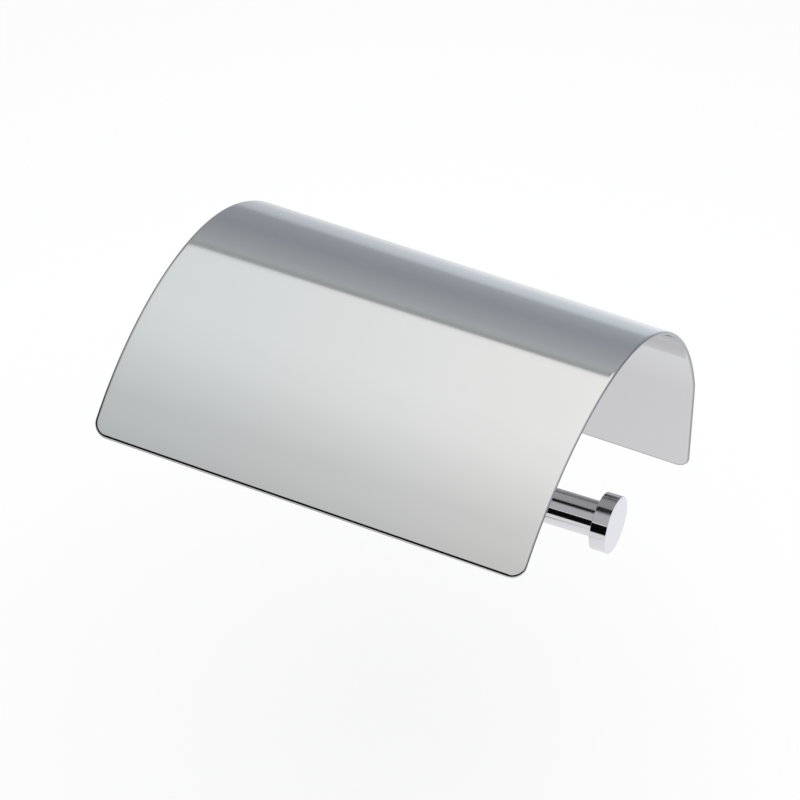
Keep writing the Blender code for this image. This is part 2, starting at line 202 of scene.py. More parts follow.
HIGH_BACK_ALONG_X = ((-1.0, 0.95), (-0.343, 0.97), (-0.293, 1.01), (-0.243, 1.06), (1.0, 1.06))
FRONT_BY_HEIGHT = ((-1.0, 0.93), (-0.09, 0.92), (-0.02, 0.004), (0.5, 0.004), (1.0, 0.004))

# Lamp and camera: places in metres, power in watts, sensor and lens in the camera's millimetres
LAMP_PLACE = (0.2, -0.4, 1.5)
LAMP_SIZE = 1.2
LAMP_POWER = 4.0
CAMERA_PLACE = (0.30897, -0.74615, 0.83953)
CAMERA_AZIMUTH = radians(24.71)
CAMERA_ELEVATION = radians(46.83)
CAMERA_ROLL = radians(-0.084)
CAMERA_SENSOR = 36.0
CAMERA_LENS = 169.8
CAMERA_NEAR = 10 * MM


# ---------------------------------------------------------------- mesh tools

def at(x, y, z, turn=NO_TURN):
    """A place in the shared frame, with a turn before it."""
    return Matrix.Translation((x, y, z)) @ turn


def bridge(edit, ring, following):
    """Faces between two closed rings of vertices; a ring of one vertex is a pole."""
    count = max(len(ring), len(following))
    for i in range(count):
        j = (i + 1) % count
        corners = [ring[i % len(ring)], ring[j % len(ring)]]
        corners += [following[j % len(following)], following[i % len(following)]]
        edit.faces.new(list(dict.fromkeys(corners)))


def eased(profile, radius, steps=EASING_STEPS):
    """Round every inner corner of an open profile of (radius, height) points."""
    points = [Vector(point) for point in profile]
    result = [points[0]]
    for before, corner, after in zip(points, points[1:], points[2:]):
        back, ahead = before - corner, after - corner
        reach = min(radius, EASED_SHARE * back.length, EASED_SHARE * ahead.length)
        start = corner + back.normalized() * reach
        end = corner + ahead.normalized() * reach
        for step in range(steps + 1):
            t = step / steps
            result.append((1 - t) ** 2 * start + 2 * t * (1 - t) * corner + t ** 2 * end)
    result.append(points[-1])
    return [tuple(point) for point in result]


def lathe_ring(edit, radius_at, height, steps):
    """A ring of vertices around Z, whose radius follows the angle."""
    angles = [2 * pi * i / steps for i in range(steps)]
    return [
        edit.verts.new((radius_at(angle) * cos(angle), radius_at(angle) * sin(angle), height))
        for angle in angles
    ]


def profile_rings(edit, profile, steps):
    """Rings around Z for a profile of (radius, height) points, single points on the axis."""
    rings = []
    for radius, height in profile:
        if radius < POLE_RADIUS:
            rings.append([edit.verts.new((0.0, 0.0, height))])
        else:
            rings.append(lathe_ring(edit, lambda angle: radius, height, steps))
    return rings


def lathe_mesh(profile, steps, closed=False):
    """A profile turned around Z, open or joined end to end."""
    edit = bmesh.new()
    rings = profile_rings(edit, profile, steps)
    pairs = list(zip(rings, rings[1:]))
    if closed:
        pairs.append((rings[-1], rings[0]))
    for ring, following in pairs:
        bridge(edit, ring, following)
    return edit


def prism(outline, bottom, top, taper=1.0):
    """A closed prism on an outline of (x, y) points, shrunk by taper at its bottom."""
    edit = bmesh.new()
    low = [edit.verts.new((x * taper, y * taper, bottom)) for x, y in outline]
    high = [edit.verts.new((x, y, top)) for x, y in outline]
    bridge(edit, low, high)
    edit.faces.new(low)
    edit.faces.new(high)
    return edit


def as_object(name, edit, place=NO_TURN):
    """A scene object from a mesh being edited, moved to its place."""
    bmesh.ops.recalc_face_normals(edit, faces=edit.faces)
    mesh = bpy.data.meshes.new(name)
    edit.to_mesh(mesh)
    edit.free()
    mesh.transform(place)
    obj = bpy.data.objects.new(name, mesh)
    bpy.context.scene.collection.objects.link(obj)
    return obj


def carve(obj, cutters):
    """Subtract the cutters for good, and delete them."""
    for cutter in cutters:
        boolean = obj.modifiers.new(cutter.name, "BOOLEAN")
        boolean.operation = "DIFFERENCE"
        boolean.solver = "EXACT"
        boolean.object = cutter
    bake_modifiers(obj)
    for cutter in cutters:
        bpy.data.objects.remove(cutter, do_unlink=True)


def bake_modifiers(obj):
    bpy.context.view_layer.update()
    evaluated = obj.evaluated_get(bpy.context.evaluated_depsgraph_get())
    mesh = bpy.data.meshes.new_from_object(evaluated)
    obj.modifiers.clear()
    obj.data = mesh


def finished(obj, node, material):
    """Smooth the shading between the creases, then hand the piece to the frame."""
    obj.data.materials.clear()
    obj.data.materials.append(material)
    obj.data.shade_smooth()
    obj.data.set_sharp_from_angle(angle=CREASE_ANGLE)
    weighted = obj.modifiers.new("Weighted normals", "WEIGHTED_NORMAL")
    weighted.keep_sharp = True
    bake_modifiers(obj)
    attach(obj, "root")
    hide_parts(node)
    return obj


def drill(radius, start, end, place, steps=SMALL_STEPS):
    """A round cutter along its place's own Z."""
    profile = [(0.0, end), (radius, end), (radius, start), (0.0, start)]
    return as_object("drill", lathe_mesh(profile, steps), place)


# ---------------------------------------------------------------- cover

def cover_section(s):
    """(Y, Z) and outward normal of the cover's outer side, at length s from the tail's end."""
    y, z, heading = TAIL_BACK_Y, TAIL_BOTTOM + min(s, TAIL_LENGTH), pi / 2
    left = s - TAIL_LENGTH
    for radius, sweep in COVER_ARCS:
        if left <= 0:
            break
        swept = min(left / radius, sweep)
        y += radius * (sin(heading + swept) - sin(heading))
        z -= radius * (cos(heading + swept) - cos(heading))
        heading += swept
        left -= radius * sweep
    return Vector((y, z)), Vector((sin(heading), -cos(heading)))


def cover_point(x, s, depth):
    """A point of the sheet, at a depth below its outer side."""
    place, normal = cover_section(s)
    place = place - normal * depth
    return Vector((x, place.x, place.y))


def cover_rows():
    """Rows of the sheet: length along it, half width, and the side's outward direction."""
    inner_radius = COVER_CORNER_RADIUS - COVER_EASING
    straight = COVER_WIDTH / 2 - COVER_CORNER_RADIUS
    corner = []
    for step in range(CORNER_STEPS + 1):
        turn = pi / 2 * step / CORNER_STEPS
        s = COVER_CORNER_RADIUS - inner_radius * cos(turn)
        corner.append((s, straight + inner_radius * sin(turn), (sin(turn), -cos(turn))))
    start, end = COVER_CORNER_RADIUS, COVER_LENGTH - COVER_CORNER_RADIUS
    count = round((end - start) / COVER_ROW)
    middle = [
        (start + (end - start) * i / count, straight + inner_radius, (1.0, 0.0))
        for i in range(1, count)
    ]
    far_corner = [(COVER_LENGTH - s, w, (nx, -ns)) for s, w, (nx, ns) in corner[::-1]]
    return corner + middle + far_corner


def cover_face(edit, rows, depth):
    """One side of the sheet as a grid of vertices, with its faces."""
    columns = [2 * i / COVER_COLUMNS - 1 for i in range(COVER_COLUMNS + 1)]
    grid = [
        [edit.verts.new(cover_point(u * half_width, s, depth)) for u in columns]
        for s, half_width, _ in rows
    ]
    for row, following in zip(grid, grid[1:]):
        for i in range(COVER_COLUMNS):
            edit.faces.new((row[i], row[i + 1], following[i + 1], following[i]))
    return grid


def cover_border(rows):
    """The sheet's rounded outline as (grid row, grid column, x, s, outward x, outward s)."""
    last = len(rows) - 1
    border = []
    s, half_width, _ = rows[0]
    for i in range(COVER_COLUMNS):
        border.append((0, i, (2 * i / COVER_COLUMNS - 1) * half_width, s, 0.0, -1.0))
    for r, (s, half_width, (nx, ns)) in enumerate(rows[:-1]):
        border.append((r, COVER_COLUMNS, half_width, s, nx, ns))
    s, half_width, _ = rows[-1]
    for i in range(COVER_COLUMNS, 0, -1):
        border.append((last, i, (2 * i / COVER_COLUMNS - 1) * half_width, s, 0.0, 1.0))
    for r in range(last, 0, -1):
        s, half_width, (nx, ns) = rows[r]
        border.append((r, 0, -half_width, s, -nx, ns))
    return border


def cover_easing():
    """The rim's half-round section as (distance out, depth) points."""
    turns = [pi / 2 * step / EASING_STEPS for step in range(1, EASING_STEPS + 1)]
    easing = [(COVER_EASING * sin(t), COVER_EASING_DEPTH * (1 - cos(t))) for t in turns]
    return easing + [(out, SHEET_THICKNESS - depth) for out, depth in easing[::-1]]


def cover_mesh():
    edit = bmesh.new()
    rows = cover_rows()
    outer = cover_face(edit, rows, 0.0)
    inner = cover_face(edit, rows, SHEET_THICKNESS)
    border = cover_border(rows)
    rings = [[outer[r][c] for r, c, *_ in border]]
    for out, depth in cover_easing():
        rings.append([
            edit.verts.new(cover_point(x + nx * out, s + ns * out, depth))
            for _, _, x, s, nx, ns in border
        ])
    rings.append([inner[r][c] for r, c, *_ in border])
    for ring, following in zip(rings, rings[1:]):
        bridge(edit, ring, following)
    return edit


def build_cover(material):
    cover = as_object("cover", cover_mesh())
    holes = [(x, WALL_SCREW_Z) for x in WALL_SCREW_AT.values()]
    holes += [(x, POST_Z) for x in POST_SCREW_X.values()]
    depth = SHEET_THICKNESS + OVERRUN
    carve(cover, [
        drill(HOLE_RADIUS, -OVERRUN, depth, at(x, TAIL_BACK_Y, z, FACING_ROOM)) for x, z in holes
    ])
    return finished(cover, "cover_sheet", material)


# ---------------------------------------------------------------- wall plate

def rounded_rectangle(half_width, half_height, radius, steps=CORNER_STEPS):
    """Corner arcs of a rectangle, counter-clockwise from the upper right."""
    corners = ((1, 1, 0), (-1, 1, 1), (-1, -1, 2), (1, -1, 3))
    points = []
    for side_x, side_y, quarter in corners:
        centre_x = side_x * (half_width - radius)
        centre_y = side_y * (half_height - radius)
        for step in range(steps + 1):
            angle = pi / 2 * (quarter + step / steps)
            points.append((centre_x + radius * cos(angle), centre_y + radius * sin(angle)))
    return points


def plate_mesh():
    """The plate lying flat on local Z = 0, with all its edges eased."""
    edit = bmesh.new()
    turns = [pi / 2 * step / EASING_STEPS for step in range(EASING_STEPS + 1)]
    levels = [(PLATE_EASING * (1 - sin(t)), PLATE_EASING * (1 - cos(t))) for t in turns]
    levels += [(inset, PLATE_THICKNESS - height) for inset, height in levels[::-1]]
    rings = []
    for inset, height in levels:
        outline = rounded_rectangle(
            PLATE_WIDTH / 2 - inset, PLATE_HEIGHT / 2 - inset, PLATE_CORNER_RADIUS - inset
        )
        rings.append([edit.verts.new((x, y, height)) for x, y in outline])
    for ring, following in zip(rings, rings[1:]):
        bridge(edit, ring, following)
    edit.faces.new(rings[0])
    edit.faces.new(rings[-1])
    return edit


def countersink(x, beyond):
    """A cutter for a post screw's hole, whose cone runs on past the plate's back face."""
    depth = COUNTERSUNK_HEAD_HEIGHT + CLEARANCE
    mouth = COUNTERSUNK_HEAD_RADIUS + CLEARANCE
    mouth += OVERRUN * (mouth - HOLE_RADIUS) / depth
    sink = [
        (0.0, beyond), (HOLE_RADIUS, beyond), (HOLE_RADIUS, depth),
        (mouth, -OVERRUN), (0.0, -OVERRUN),
    ]
    place = at(x, 0.0, POST_Z, FACING_ROOM)
    return as_object("countersink", lathe_mesh(sink, SMALL_STEPS), place)


def build_wall_plate(material):
    plate = as_object("plate", plate_mesh(), FACING_ROOM)
    beyond = PLATE_THICKNESS + OVERRUN
    cutters = [
        drill(HOLE_RADIUS, -OVERRUN, beyond, at(x, 0.0, WALL_SCREW_Z, FACING_ROOM))
        for x in WALL_SCREW_AT.values()
    ]
    cutters += [countersink(x, beyond) for x in POST_SCREW_X.values()]
    carve(plate, cutters)
    return finished(plate, "wall_plate", material)


# ---------------------------------------------------------------- post, pin and knob

PIN_AXIS = at(POST_X, -PIN_FROM_WALL, POST_Z, Matrix.Rotation(pi / 2 - PIN_TILT, 4, "Y"))


def build_post(material):
    length = POST_BASE_Y - POST_FRONT_Y
    profile = [(0.0, length), (POST_RADIUS, length), (POST_RADIUS, 0.0), (0.0, 0.0)]
    place = at(POST_X, POST_BASE_Y, POST_Z, FACING_ROOM)
    post = as_object("post_body", lathe_mesh(eased(profile, POST_EASING), ROUND_STEPS), place)
    cutters = [
        drill(PIN_BORE_RADIUS, -PIN_INSET - CLEARANCE, BORE_REACH, PIN_AXIS, ROUND_STEPS),
        drill(HOLE_RADIUS, -OVERRUN, POST_RADIUS, at(POST_X, -PIN_FROM_WALL, POST_Z - POST_RADIUS)),
    ]
    depth = POST_SCREW_LENGTH + TAIL_FRONT_Y
    for x in POST_SCREW_X.values():
        cutters.append(drill(HOLE_RADIUS, -OVERRUN, depth, at(x, POST_BASE_Y, POST_Z, FACING_ROOM)))
    carve(post, cutters)
    return finished(post, "post", material)


def build_pin(material):
    top = PIN_REACH - KNOB_THICKNESS - CLEARANCE
    bore = STUD_RADIUS + CLEARANCE
    bore_bottom = PIN_REACH - KNOB_THICKNESS + STUD_IN_KNOB - STUD_LENGTH - CLEARANCE
    profile = [
        (0.0, bore_bottom), (bore, bore_bottom), (bore, top), (PIN_RADIUS, top),
        (PIN_RADIUS, -PIN_INSET), (0.0, -PIN_INSET),
    ]
    mesh = lathe_mesh(eased(profile, SMALL_EASING), ROUND_STEPS)
    return finished(as_object("pin", mesh, PIN_AXIS), "roll_pin", material)


def build_knob(material):
    back = PIN_REACH - KNOB_THICKNESS
    bore = STUD_RADIUS + CLEARANCE
    bore_end = back + STUD_IN_KNOB + CLEARANCE
    profile = [
        (0.0, PIN_REACH), (KNOB_RADIUS, PIN_REACH), (KNOB_RADIUS, back),
        (bore, back), (bore, bore_end), (0.0, bore_end),
    ]
    mesh = lathe_mesh(eased(profile, KNOB_EASING), ROUND_STEPS)
    return finished(as_object("knob_body", mesh, PIN_AXIS), "knob", material)


# ---------------------------------------------------------------- fixings

def threaded(profile_top, root, crest, pitch, start, end, tip=0.0):
    """A screw's head profile, then a threaded shank from start down to end, and its tip."""
    rows = round((start - end) / pitch * THREAD_ROWS)
    edit = bmesh.new()
    rings = profile_rings(edit, profile_top, SMALL_STEPS)
    for row in range(rows + 1):
        height = start + (end - start) * row / rows
        taper = min(1.0, (height - end) / tip + TIP_BLUNTNESS) if tip else 1.0
        fade = min(1.0, row / THREAD_ROWS, 1.0 if tip else (rows - row) / THREAD_ROWS)

        def radius_at(angle):
            phase = (height / pitch + angle / (2 * pi)) % 1.0
            ridge = max(0.0, 1.0 - abs(phase - 0.5) / THREAD_RIDGE)
            return taper * (root + (crest - root) * ridge * fade)

        rings.append(lathe_ring(edit, radius_at, height, SMALL_STEPS))
    rings.append([edit.verts.new((0.0, 0.0, end))])
    for ring, following in zip(rings, rings[1:]):
        bridge(edit, ring, following)
    return edit


def cross_cutter(place):
    """A tapering cross that sinks into a screw head, whose top is at local zero."""
    w, s = RECESS_WIDTH / 2, RECESS_SPAN / 2
    outline = [
        (w, w), (w, s), (-w, s), (-w, w), (-s, w), (-s, -w),
        (-w, -w), (-w, -s), (w, -s), (w, -w), (s, -w), (s, w),
    ]
    return as_object("cross", prism(outline, -RECESS_DEPTH, RECESS_OVERRUN, RECESS_TAPER), place)


def build_post_screw(side, x, material):
    place = at(x, 0.0, POST_Z, FACING_WALL)
    top = [
        (0.0, 0.0), (COUNTERSUNK_HEAD_RADIUS - SMALL_EASING, 0.0),
        (COUNTERSUNK_HEAD_RADIUS, -SMALL_EASING), (MACHINE_ROOT, -COUNTERSUNK_HEAD_HEIGHT),
    ]
    mesh = threaded(
        top, MACHINE_ROOT, SCREW_RADIUS, MACHINE_PITCH,
        -COUNTERSUNK_HEAD_HEIGHT - SMALL_EASING, -POST_SCREW_LENGTH,
    )
    screw = as_object(f"screw_to_post_{side}", mesh, place)
    carve(screw, [cross_cutter(place)])
    return finished(screw, f"post_screw_{side}", material)


def build_wall_screw(side, x, material):
    head_under_y = TAIL_FRONT_Y - WASHER_THICKNESS - 2 * CLEARANCE
    place = at(x, head_under_y - PAN_HEAD_HEIGHT, WALL_SCREW_Z, FACING_ROOM)
    under = -PAN_HEAD_HEIGHT
    neck_end = under - WALL_SCREW_NECK
    crown = [(PAN_HEAD_RADIUS * wide, under * low) for wide, low in PAN_HEAD_CROWN]
    top = eased([
        (0.0, 0.0), *crown, (SCREW_RADIUS, under), (SCREW_RADIUS, neck_end),
        (WALL_SCREW_ROOT, neck_end - SMALL_EASING),
    ], 3 * SMALL_EASING)
    mesh = threaded(
        top, WALL_SCREW_ROOT, SCREW_RADIUS, WALL_SCREW_PITCH,
        neck_end - 2 * SMALL_EASING, under - WALL_SCREW_LENGTH, WALL_SCREW_TIP,
    )
    screw = as_object(f"screw_to_wall_{side}", mesh, place)
    carve(screw, [cross_cutter(place)])
    return finished(screw, f"wall_screw_{side}", material)


def build_washer(side, x, material):
    bore, t, e = HOLE_RADIUS, WASHER_THICKNESS, SMALL_EASING
    profile = [
        (bore, t - e), (bore + e, t), (WASHER_RADIUS - e, t), (WASHER_RADIUS, t - e),
        (WASHER_RADIUS, e), (WASHER_RADIUS - e, 0.0), (bore + e, 0.0), (bore, e),
    ]
    place = at(x, TAIL_FRONT_Y - CLEARANCE, WALL_SCREW_Z, FACING_ROOM)
    washer = as_object(f"washer_{side}", lathe_mesh(profile, SMALL_STEPS, closed=True), place)
    return finished(washer, f"screw_washer_{side}", material)


def build_set_screw(material):
    top_z = POST_Z - PIN_RADIUS - 2 * CLEARANCE
    place = at(POST_X, -PIN_FROM_WALL, top_z - SET_SCREW_LENGTH, Matrix.Rotation(pi, 4, "X"))
    bottom = -SET_SCREW_LENGTH
    profile = [(0.0, 0.0), (SCREW_RADIUS, 0.0), (SCREW_RADIUS, bottom), (0.0, bottom)]
    mesh = lathe_mesh(eased(profile, 2 * SMALL_EASING), SMALL_STEPS)
    screw = as_object("set_screw", mesh, place)
    corners = [2 * pi * i / HEX_SIDES for i in range(HEX_SIDES)]
    hexagon = [(HEX_SOCKET_RADIUS * cos(a), HEX_SOCKET_RADIUS * sin(a)) for a in corners]
    carve(screw, [as_object("hexagon", prism(hexagon, bottom / 2, OVERRUN), place)])
    return finished(screw, "pin_set_screw", material)


# ---------------------------------------------------------------- finishes

class Finish:
    """A material with short calls for its nodes. Texture space is the object's own, in metres."""

    def __init__(self, name, colour, roughness, metallic=1.0):
        self.material = bpy.data.materials.new(name)
        self.material.use_nodes = True
        self.tree = self.material.node_tree
        self.shader = self.tree.nodes["Principled BSDF"]
        self.set("Base Color", (*colour, 1.0))
        self.set("Roughness", roughness)
        self.set("Metallic", metallic)
        self.space = self.tree.nodes.new("ShaderNodeTexCoord").outputs["Object"]

    def set(self, socket, value):
        self.shader.inputs[socket].default_value = value

    def link(self, output, socket):
        self.tree.links.new(output, self.shader.inputs[socket])

    def noise(self, scale, detail=3.0, stretch=(1.0, 1.0, 1.0), turn=(0.0, 0.0, 0.0)):
        mapping = self.tree.nodes.new("ShaderNodeMapping")
        mapping.inputs["Scale"].default_value = stretch
        mapping.inputs["Rotation"].default_value = turn
        self.tree.links.new(self.space, mapping.inputs["Vector"])
        noise = self.tree.nodes.new("ShaderNodeTexNoise")
        noise.inputs["Scale"].default_value = scale
        noise.inputs["Detail"].default_value = detail
        self.tree.links.new(mapping.outputs["Vector"], noise.inputs["Vector"])
        return noise.outputs["Fac"]

    def ranged(self, value, low, high, start=0.3, end=0.7):
        """From low to high as value goes from start to end, by default a noise's usual spread."""
        node = self.tree.nodes.new("ShaderNodeMapRange")
        node.inputs["From Min"].default_value = start
        node.inputs["From Max"].default_value = end
        node.inputs["To Min"].default_value = low
        node.inputs["To Max"].default_value = high
        self.tree.links.new(value, node.inputs["Value"])
        return node.outputs["Result"]

    def place(self):
        """The object's own X, Y and Z."""
        split = self.tree.nodes.new("ShaderNodeSeparateXYZ")
        self.tree.links.new(self.space, split.inputs[0])
        return tuple(split.outputs)

    def combine(self, operation, first, second):
        node = self.tree.nodes.new("ShaderNodeMath")
        node.operation = operation
        self.tree.links.new(first, node.inputs[0])
        self.tree.links.new(second, node.inputs[1])
        return node.outputs[0]

    def mixed(self, factor, first, second):
        node = self.tree.nodes.new("ShaderNodeMix")
        node.data_type = "RGBA"
        for socket, colour in ((6, first), (7, second)):
            if isinstance(colour, tuple):
                node.inputs[socket].default_value = (*colour, 1.0)
            else:
                self.tree.links.new(colour, node.inputs[socket])
        self.tree.links.new(factor, node.inputs[0])
        return node.outputs[2]

    def bump(self, height, strength, distance, after=None):
        node = self.tree.nodes.new("ShaderNodeBump")
        node.inputs["Strength"].default_value = strength
        node.inputs["Distance"].default_value = distance
        self.tree.links.new(height, node.inputs["Height"])
        if after is not None:
            self.tree.links.new(after, node.inputs["Normal"])
        return node.outputs["Normal"]


def cut_edge(finish):
    """1 on the sheet's cut sides and lower end, 0 on its faces: where their dull finish and painted
    shade go.
    """
    x, _, z = finish.place()
    side, straight = COVER_WIDTH / 2, COVER_WIDTH / 2 - COVER_CORNER_RADIUS
    beside = finish.combine(
        "MAXIMUM",
        finish.ranged(x, 0.0, COVER_CORNER_RADIUS, straight, side),
        finish.ranged(x, COVER_CORNER_RADIUS, 0.0, -side, -straight),
    )
    corner_z = TAIL_BOTTOM + COVER_CORNER_RADIUS
    below = finish.ranged(z, COVER_CORNER_RADIUS + CUT_LIFT, 0.0, TAIL_BOTTOM, corner_z)
    squared = finish.combine(
        "ADD", finish.combine("MULTIPLY", beside, beside), finish.combine("MULTIPLY", below, below)
    )
    start, full = COVER_CORNER_RADIUS - CUT_START, COVER_CORNER_RADIUS - CUT_FULL
    return finish.ranged(squared, 0.0, 1.0, start ** 2, full ** 2)


def satin_steel():
    """Stainless sheet with a fine grain that runs up and over the arch, and duller cut sides
    darkened with painted shade.
    """
    finish = Finish("satin_steel", (0.60, 0.60, 0.60), 0.12)
    grain = finish.noise(1.0, 2.0, stretch=(7000.0, 90.0, 90.0))
    streaks = finish.noise(1.0, 3.0, stretch=(900.0, 14.0, 14.0))
    haze = finish.noise(24.0, 4.0)
    roughness = finish.combine(
        "ADD", finish.ranged(grain, 0.085, 0.11), finish.ranged(haze, -0.006, 0.008)
    )
    cut = cut_edge(finish)
    roughness = finish.combine("ADD", roughness, finish.ranged(cut, 0.0, CUT_ROUGHNESS, 0.0, 1.0))
    finish.link(roughness, "Roughness")
    brushed = finish.mixed(streaks, (0.594, 0.597, 0.600), (0.606, 0.605, 0.603))
    # Painted shade: the cut sides' base colour is darkened to stand in for the rim's dark
    # reflection; their added roughness is the cut's own dull finish.
    finish.link(finish.mixed(cut, brushed, CUT_PAINTED_SHADE_COLOUR), "Base Color")
    finish.link(finish.bump(grain, 0.05, 0.01 * MM), "Normal")
    finish.set("Anisotropic", 0.8)
    finish.set("Anisotropic Rotation", 0.25)
    tangent = finish.tree.nodes.new("ShaderNodeTangent")
    tangent.direction_type = "RADIAL"
    tangent.axis = "X"
    finish.link(tangent.outputs["Tangent"], "Tangent")
    return finish.material


def chrome():
    """Bright plating with a trace of polishing haze."""
    finish = Finish("chrome", (0.69, 0.69, 0.71), 0.04)
    haze = finish.noise(160.0, 5.0)
    swirl = finish.noise(900.0, 3.0, stretch=(1.0, 0.3, 1.0), turn=(0.3, 0.5, 0.2))
    finish.link(finish.combine(
        "ADD", finish.ranged(haze, 0.03, 0.055), finish.ranged(swirl, 0.0, 0.015)
    ), "Roughness")
    finish.link(finish.mixed(haze, (0.68, 0.68, 0.70), (0.70, 0.70, 0.715)), "Base Color")
    finish.link(finish.bump(haze, 0.02, 0.02 * MM), "Normal")
    return finish.material


def plated_steel():
    """Pressed steel plate under dull zinc, clouded and faintly rolled."""
    finish = Finish("plated_steel", (0.60, 0.62, 0.64), 0.42)
    cloud = finish.noise(140.0, 6.0)
    rolled = finish.noise(1.0, 3.0, stretch=(60.0, 900.0, 2600.0))
    pits = finish.noise(2600.0, 2.0)
    finish.link(finish.mixed(cloud, (0.53, 0.56, 0.60), (0.68, 0.68, 0.66)), "Base Color")
    finish.link(finish.combine(
        "ADD", finish.ranged(cloud, 0.33, 0.48), finish.ranged(rolled, -0.03, 0.04)
    ), "Roughness")
    surface = finish.bump(rolled, 0.15, 0.02 * MM)
    finish.link(finish.bump(pits, 0.12, 0.03 * MM, after=surface), "Normal")
    return finish.material


def screw_steel():
    """Plain stainless of the screws, with faint turning and tumbling marks."""
    finish = Finish("screw_steel", (0.56, 0.56, 0.57), 0.32)
    tumbled = finish.noise(1500.0, 5.0)
    cloud = finish.noise(300.0, 3.0)
    finish.link(finish.ranged(tumbled, 0.24, 0.40), "Roughness")
    finish.link(finish.mixed(cloud, (0.50, 0.50, 0.52), (0.64, 0.64, 0.64)), "Base Color")
    finish.link(finish.bump(tumbled, 0.15, 0.02 * MM), "Normal")
    return finish.material


def nylon():
    """White moulded nylon, slightly translucent."""
    finish = Finish("nylon", (0.82, 0.82, 0.79), 0.45, metallic=0.0)
    skin = finish.noise(2200.0, 3.0)
    cloud = finish.noise(220.0, 2.0)
    finish.link(finish.mixed(cloud, (0.80, 0.80, 0.77), (0.85, 0.85, 0.83)), "Base Color")
    finish.link(finish.ranged(skin, 0.38, 0.52), "Roughness")
    finish.link(finish.bump(skin, 0.2, 0.02 * MM), "Normal")
    finish.set("Subsurface Weight", 0.15)
    finish.set("Subsurface Scale", 0.5 * MM)
    return finish.material


# ---------------------------------------------------------------- floor, light and camera

def floor_disc(name, z, finish):
    """A flat disc that fades out at its rim and is clear from below."""
    mesh = lathe_mesh([(FLOOR_RADIUS, 0.0), (0.0, 0.0)], ROUND_STEPS)
    disc = as_object(name, mesh, at(0.0, FLOOR_CENTRE_Y, z))
    finish.set("Specular IOR Level", 0.0)
    geometry = finish.tree.nodes.new("ShaderNodeNewGeometry")
    upper_side = finish.ranged(geometry.outputs["Backfacing"], 1.0, 0.0, 0.0, 1.0)
    finish.link(finish.combine("MULTIPLY", radial_fade(finish), upper_side), "Alpha")
    disc.data.materials.append(finish.material)
    return disc


def build_floor():
    """A pale round floor that fades into the pale backdrop, and lets a view from below through."""
    finish = Finish("floor", (0.25, 0.25, 0.25), 0.9, metallic=0.0)
    finish.set("Emission Color", (1.0, 1.0, 1.0, 1.0))
    finish.set("Emission Strength", FLOOR_GLOW)
    floor_disc("floor", FLOOR_Z, finish).visible_glossy = False


def build_reflector():
    """The lit studio table that only the metal sees, with a black card lying on its front."""
    finish = Finish("reflector", (0.0, 0.0, 0.0), 1.0, metallic=0.0)
    x, y, _ = finish.place()
    tint = finish.ranged(y, 0.0, 1.0, *TINT_ALONG_Y)
    finish.link(finish.mixed(tint, *REFLECTOR_TINT), "Emission Color")
    beside_card = finish.ranged(x, 0.0, 1.0, *CARD_RIGHT)
    behind_card = finish.ranged(y, 0.0, 1.0, *CARD_BACK)
    before_card = finish.combine(
        "MAXIMUM",
        finish.ranged(y, CARD_STEP_LIGHT, 0.0, *CARD_STEP),
        finish.ranged(y, 1.0, 0.0, *CARD_FRONT),
    )
    clear = finish.combine("MAXIMUM", beside_card, behind_card)
    clear = finish.combine("MAXIMUM", clear, before_card)
    light = finish.ranged(x, *REFLECTOR_LIGHT, *LIGHT_ALONG_X)
    finish.link(finish.combine("MULTIPLY", light, clear), "Emission Strength")
    table = floor_disc("reflector", FLOOR_Z + REFLECTOR_LIFT, finish)
    table.visible_camera = False
    table.visible_diffuse = False
    table.visible_shadow = False


def radial_fade(finish):
    """1 around the floor's centre, 0 at its rim."""
    nodes, links = finish.tree.nodes, finish.tree.links
    offset = nodes.new("ShaderNodeVectorMath")
    offset.operation = "SUBTRACT"
    offset.inputs[1].default_value = (0.0, FLOOR_CENTRE_Y, FLOOR_Z)
    links.new(finish.space, offset.inputs[0])
    length = nodes.new("ShaderNodeVectorMath")
    length.operation = "LENGTH"
    links.new(offset.outputs["Vector"], length.inputs[0])
    return finish.ranged(length.outputs["Value"], 1.0, 0.0, *FLOOR_FADE)


